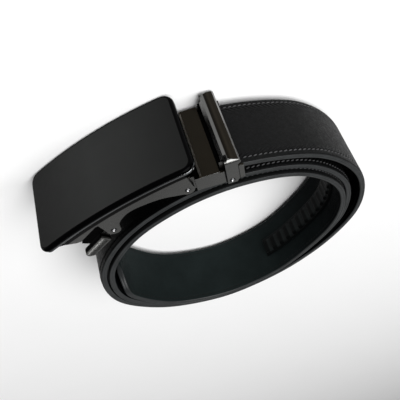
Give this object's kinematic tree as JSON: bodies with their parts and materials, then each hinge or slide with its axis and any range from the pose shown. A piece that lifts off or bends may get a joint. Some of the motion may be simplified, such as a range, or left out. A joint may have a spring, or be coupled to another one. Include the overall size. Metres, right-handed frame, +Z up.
{
  "type": "ratchet belt",
  "caption": "Coiled leather ratchet belt standing on its edge, with a toothed rack on its free end, a strap clip with clamp and a hinged automatic buckle with release lever.",
  "frame": {"origin": "on the surface the belt stands on, under the middle of its bounding box", "axes": "+Z up along the strap's width; +X along the buckle's cover plate from the hinge to its free end; the cover plate faces -Y"},
  "size_m": [0.1548, 0.1602, 0.043],
  "materials": {
    "strap_leather": "fine pebbled grain, satin",
    "rack_plastic": "moulded, satin",
    "gunmetal": "plated gunmetal, satin gloss",
    "gunmetal_bright": "dark chrome",
    "cover_black": "matte black",
    "pin_steel": "polished ends"
  },
  "bodies": {
    "strap_and_clip": {"strap": "strap_leather", "ratchet_rack": "rack_plastic", "clip_body": "gunmetal", "clamp_bail": "gunmetal", "clamp_pin": "pin_steel"},
    "buckle": {"cover_plate": "cover_black", "plate_rim": "gunmetal_bright", "buckle_frame": "gunmetal", "hinge_pin": "pin_steel", "lever_pin": "pin_steel"},
    "lever": {"release_lever": "gunmetal"}
  },
  "joints": [
    {"name": "buckle_hinge", "type": "hinge", "parent": "strap_and_clip", "child": "buckle", "pos_m": [-0.00982, -0.06127, 0.0215], "axis": [0, 0, 1], "range_deg": [-20, 7]},
    {"name": "lever_press", "type": "hinge", "parent": "buckle", "child": "lever", "pos_m": [0.02859, -0.06236, 0.0215], "axis": [0, 0, 1], "range_deg": [-18, 0], "stiffness_Nm_per_rad": 0.03, "springref_deg": 11.46}
  ]
}
